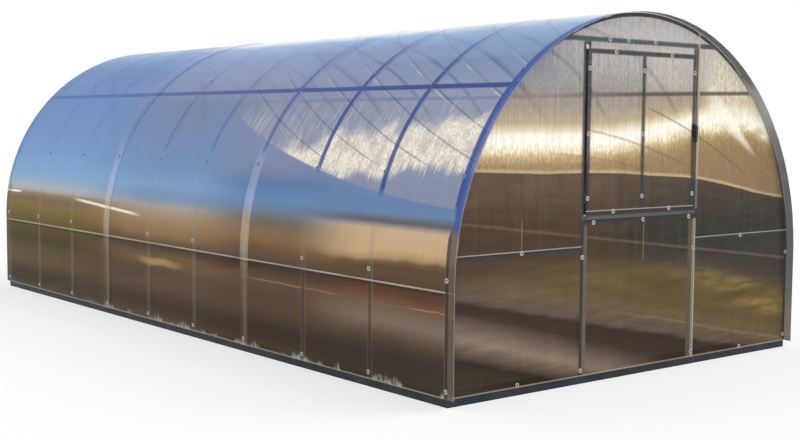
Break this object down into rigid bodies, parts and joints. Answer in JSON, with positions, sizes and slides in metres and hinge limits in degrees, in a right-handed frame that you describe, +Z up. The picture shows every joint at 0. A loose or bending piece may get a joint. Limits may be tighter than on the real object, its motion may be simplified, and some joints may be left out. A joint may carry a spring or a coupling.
{
  "type": "arched polycarbonate greenhouse",
  "caption": "Tunnel greenhouse of bent steel tube arches on a low base frame, clad in bronze twin-wall polycarbonate, with a vent leaf in one gable and a door in the other.",
  "frame": {"origin": "ground level at the middle of the plan, which is the middle of the bounding box's underside", "axes": "+X across the house to the right seen from the vent gable, +Y along the house from the vent gable to the door gable, +Z up"},
  "size_m": [3.0172, 6.11, 2.1434],
  "materials": {
    "base_steel": "satin dark blue-grey powder coat on the base tubes",
    "frame_steel": "satin dark blue-grey powder coat on the frame tubes",
    "cover_sheet": "glossy bronze twin-wall polycarbonate with fine flutes along the bend",
    "gable_sheet": "glossy bronze twin-wall polycarbonate with fine upright flutes",
    "hinge_steel": "painted weld-on barrel hinges",
    "latch_plastic": "black moulded plastic latch"
  },
  "bodies": {
    "root": {"base_left": "base_steel", "base_right": "base_steel", "base_front": "base_steel", "base_rear": "base_steel", "arch_01": "frame_steel", "arch_02": "frame_steel", "arch_03": "frame_steel", "arch_04": "frame_steel", "arch_05": "frame_steel", "arch_06": "frame_steel", "arch_07": "frame_steel", "arch_08": "frame_steel", "arch_09": "frame_steel", "arch_10": "frame_steel", "purlin_lower_left": "frame_steel", "purlin_lower_right": "frame_steel", "purlin_upper_left": "frame_steel", "purlin_upper_right": "frame_steel", "front_bottom_rail": "frame_steel", "front_post_left": "frame_steel", "front_post_right": "frame_steel", "front_tie": "frame_steel", "front_rail_left": "frame_steel", "front_rail_right": "frame_steel", "front_sill": "frame_steel", "vent_frame": "frame_steel", "rear_bottom_rail": "frame_steel", "rear_post_left": "frame_steel", "rear_post_right": "frame_steel", "rear_tie": "frame_steel", "rear_rail_left": "frame_steel", "rear_rail_right": "frame_steel", "door_frame": "frame_steel", "cover_front": "cover_sheet", "cover_middle": "cover_sheet", "cover_rear": "cover_sheet", "front_sheet": "gable_sheet", "rear_sheet": "gable_sheet", "vent_sheet": "gable_sheet", "door_sheet": "gable_sheet", "vent_hinges": "hinge_steel", "door_hinges": "hinge_steel", "vent_latch": "latch_plastic", "door_latch": "latch_plastic"}
  },
  "joints": []
}
